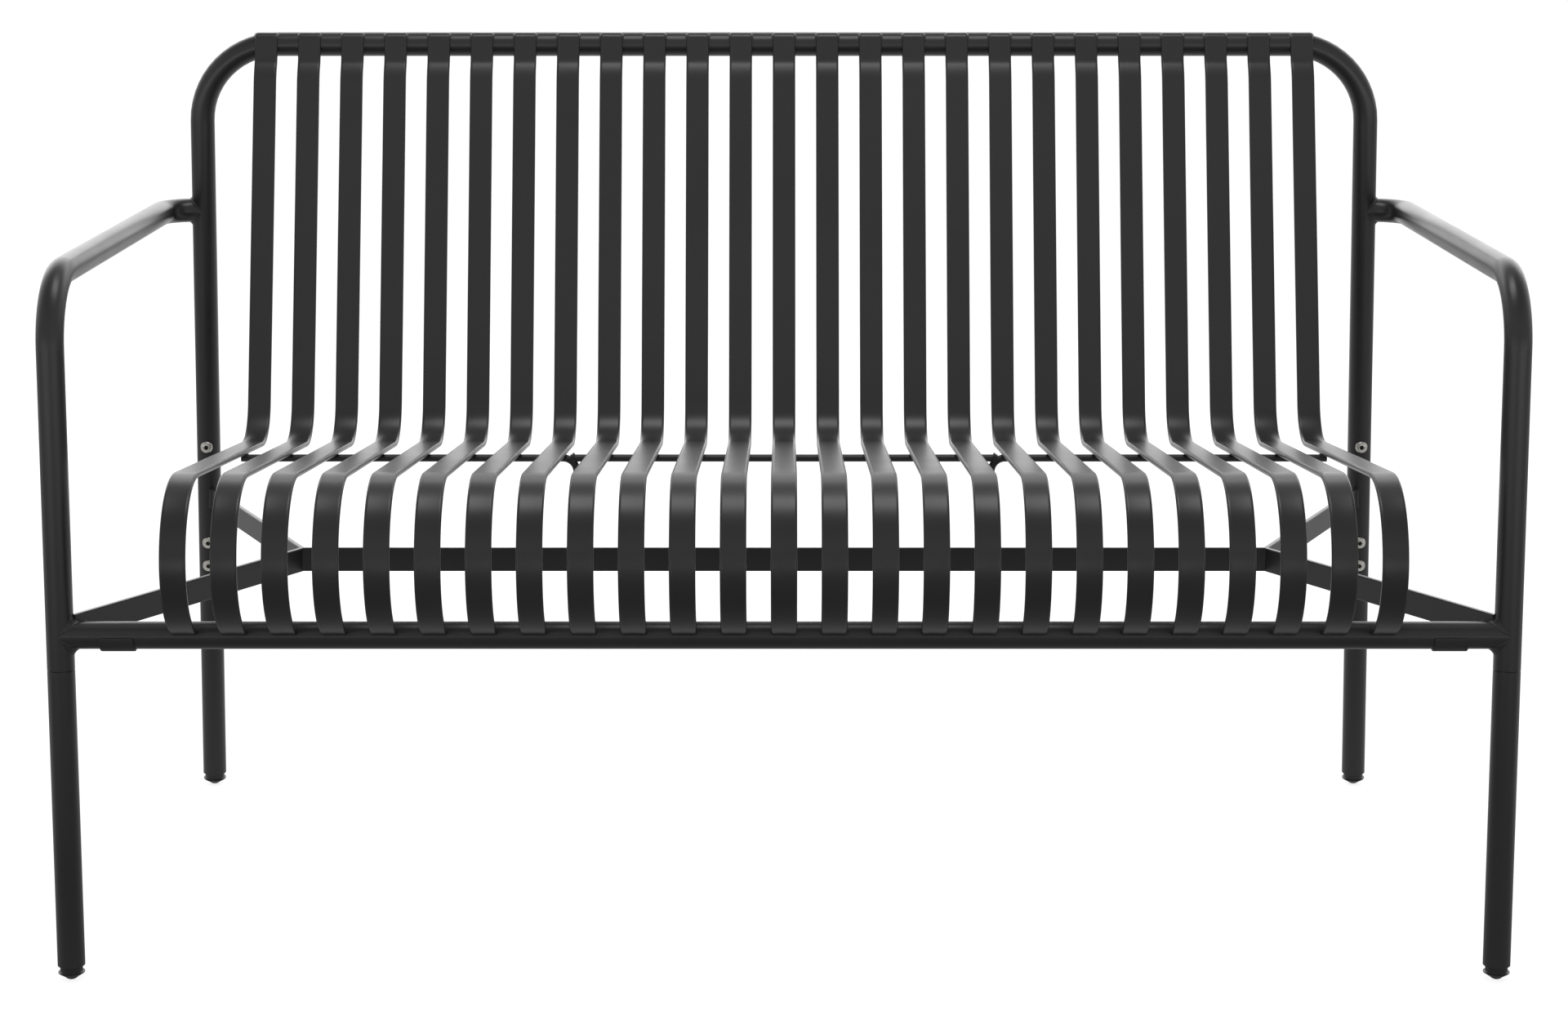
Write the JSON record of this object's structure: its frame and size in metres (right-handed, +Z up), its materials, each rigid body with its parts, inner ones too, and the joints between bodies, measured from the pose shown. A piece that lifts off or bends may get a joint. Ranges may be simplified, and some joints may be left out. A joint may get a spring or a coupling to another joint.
{
  "type": "slatted loveseat",
  "caption": "Two-seat outdoor bench of round tube and flat bars, with arms, a curled front edge and a reclined slatted back.",
  "frame": {"origin": "on the floor, in the middle of the bench's width and depth", "axes": "+Z up, front towards -Y, +X to the right of someone who faces the bench"},
  "size_m": [1.28, 0.6768, 0.803],
  "materials": {
    "powder_coat": "satin powder coat, anthracite",
    "stainless": "plain stainless",
    "zinc_steel": "zinc plated",
    "rubber": "matt",
    "glide_plastic": "moulded, matt"
  },
  "bodies": {
    "root": {"brace_crossmember": "powder_coat", "front_crossbar": "powder_coat", "left_arm_leg": "powder_coat", "left_front_brace": "powder_coat", "left_front_foot": "glide_plastic", "left_front_lower_leg": "powder_coat", "left_front_spigot": "zinc_steel", "left_rear_brace": "powder_coat", "left_rear_foot": "glide_plastic", "left_rear_lower_leg": "powder_coat", "left_rear_spigot": "zinc_steel", "left_seat_rod": "powder_coat", "left_stacking_pad": "rubber", "leg_bolts": "stainless", "middle_seat_rod": "powder_coat", "rear_hoop": "powder_coat", "right_arm_leg": "powder_coat", "right_front_brace": "powder_coat", "right_front_foot": "glide_plastic", "right_front_lower_leg": "powder_coat", "right_front_spigot": "zinc_steel", "right_rear_brace": "powder_coat", "right_rear_foot": "glide_plastic", "right_rear_lower_leg": "powder_coat", "right_rear_spigot": "zinc_steel", "right_seat_rod": "powder_coat", "right_stacking_pad": "rubber", "slat_01": "powder_coat", "slat_02": "powder_coat", "slat_03": "powder_coat", "slat_04": "powder_coat", "slat_05": "powder_coat", "slat_06": "powder_coat", "slat_07": "powder_coat", "slat_08": "powder_coat", "slat_09": "powder_coat", "slat_10": "powder_coat", "slat_11": "powder_coat", "slat_12": "powder_coat", "slat_13": "powder_coat", "slat_14": "powder_coat", "slat_15": "powder_coat", "slat_16": "powder_coat", "slat_17": "powder_coat", "slat_18": "powder_coat", "slat_19": "powder_coat", "slat_20": "powder_coat", "slat_21": "powder_coat", "slat_22": "powder_coat", "slat_23": "powder_coat", "slat_24": "powder_coat", "slat_25": "powder_coat", "threaded_inserts": "zinc_steel"}
  },
  "joints": []
}
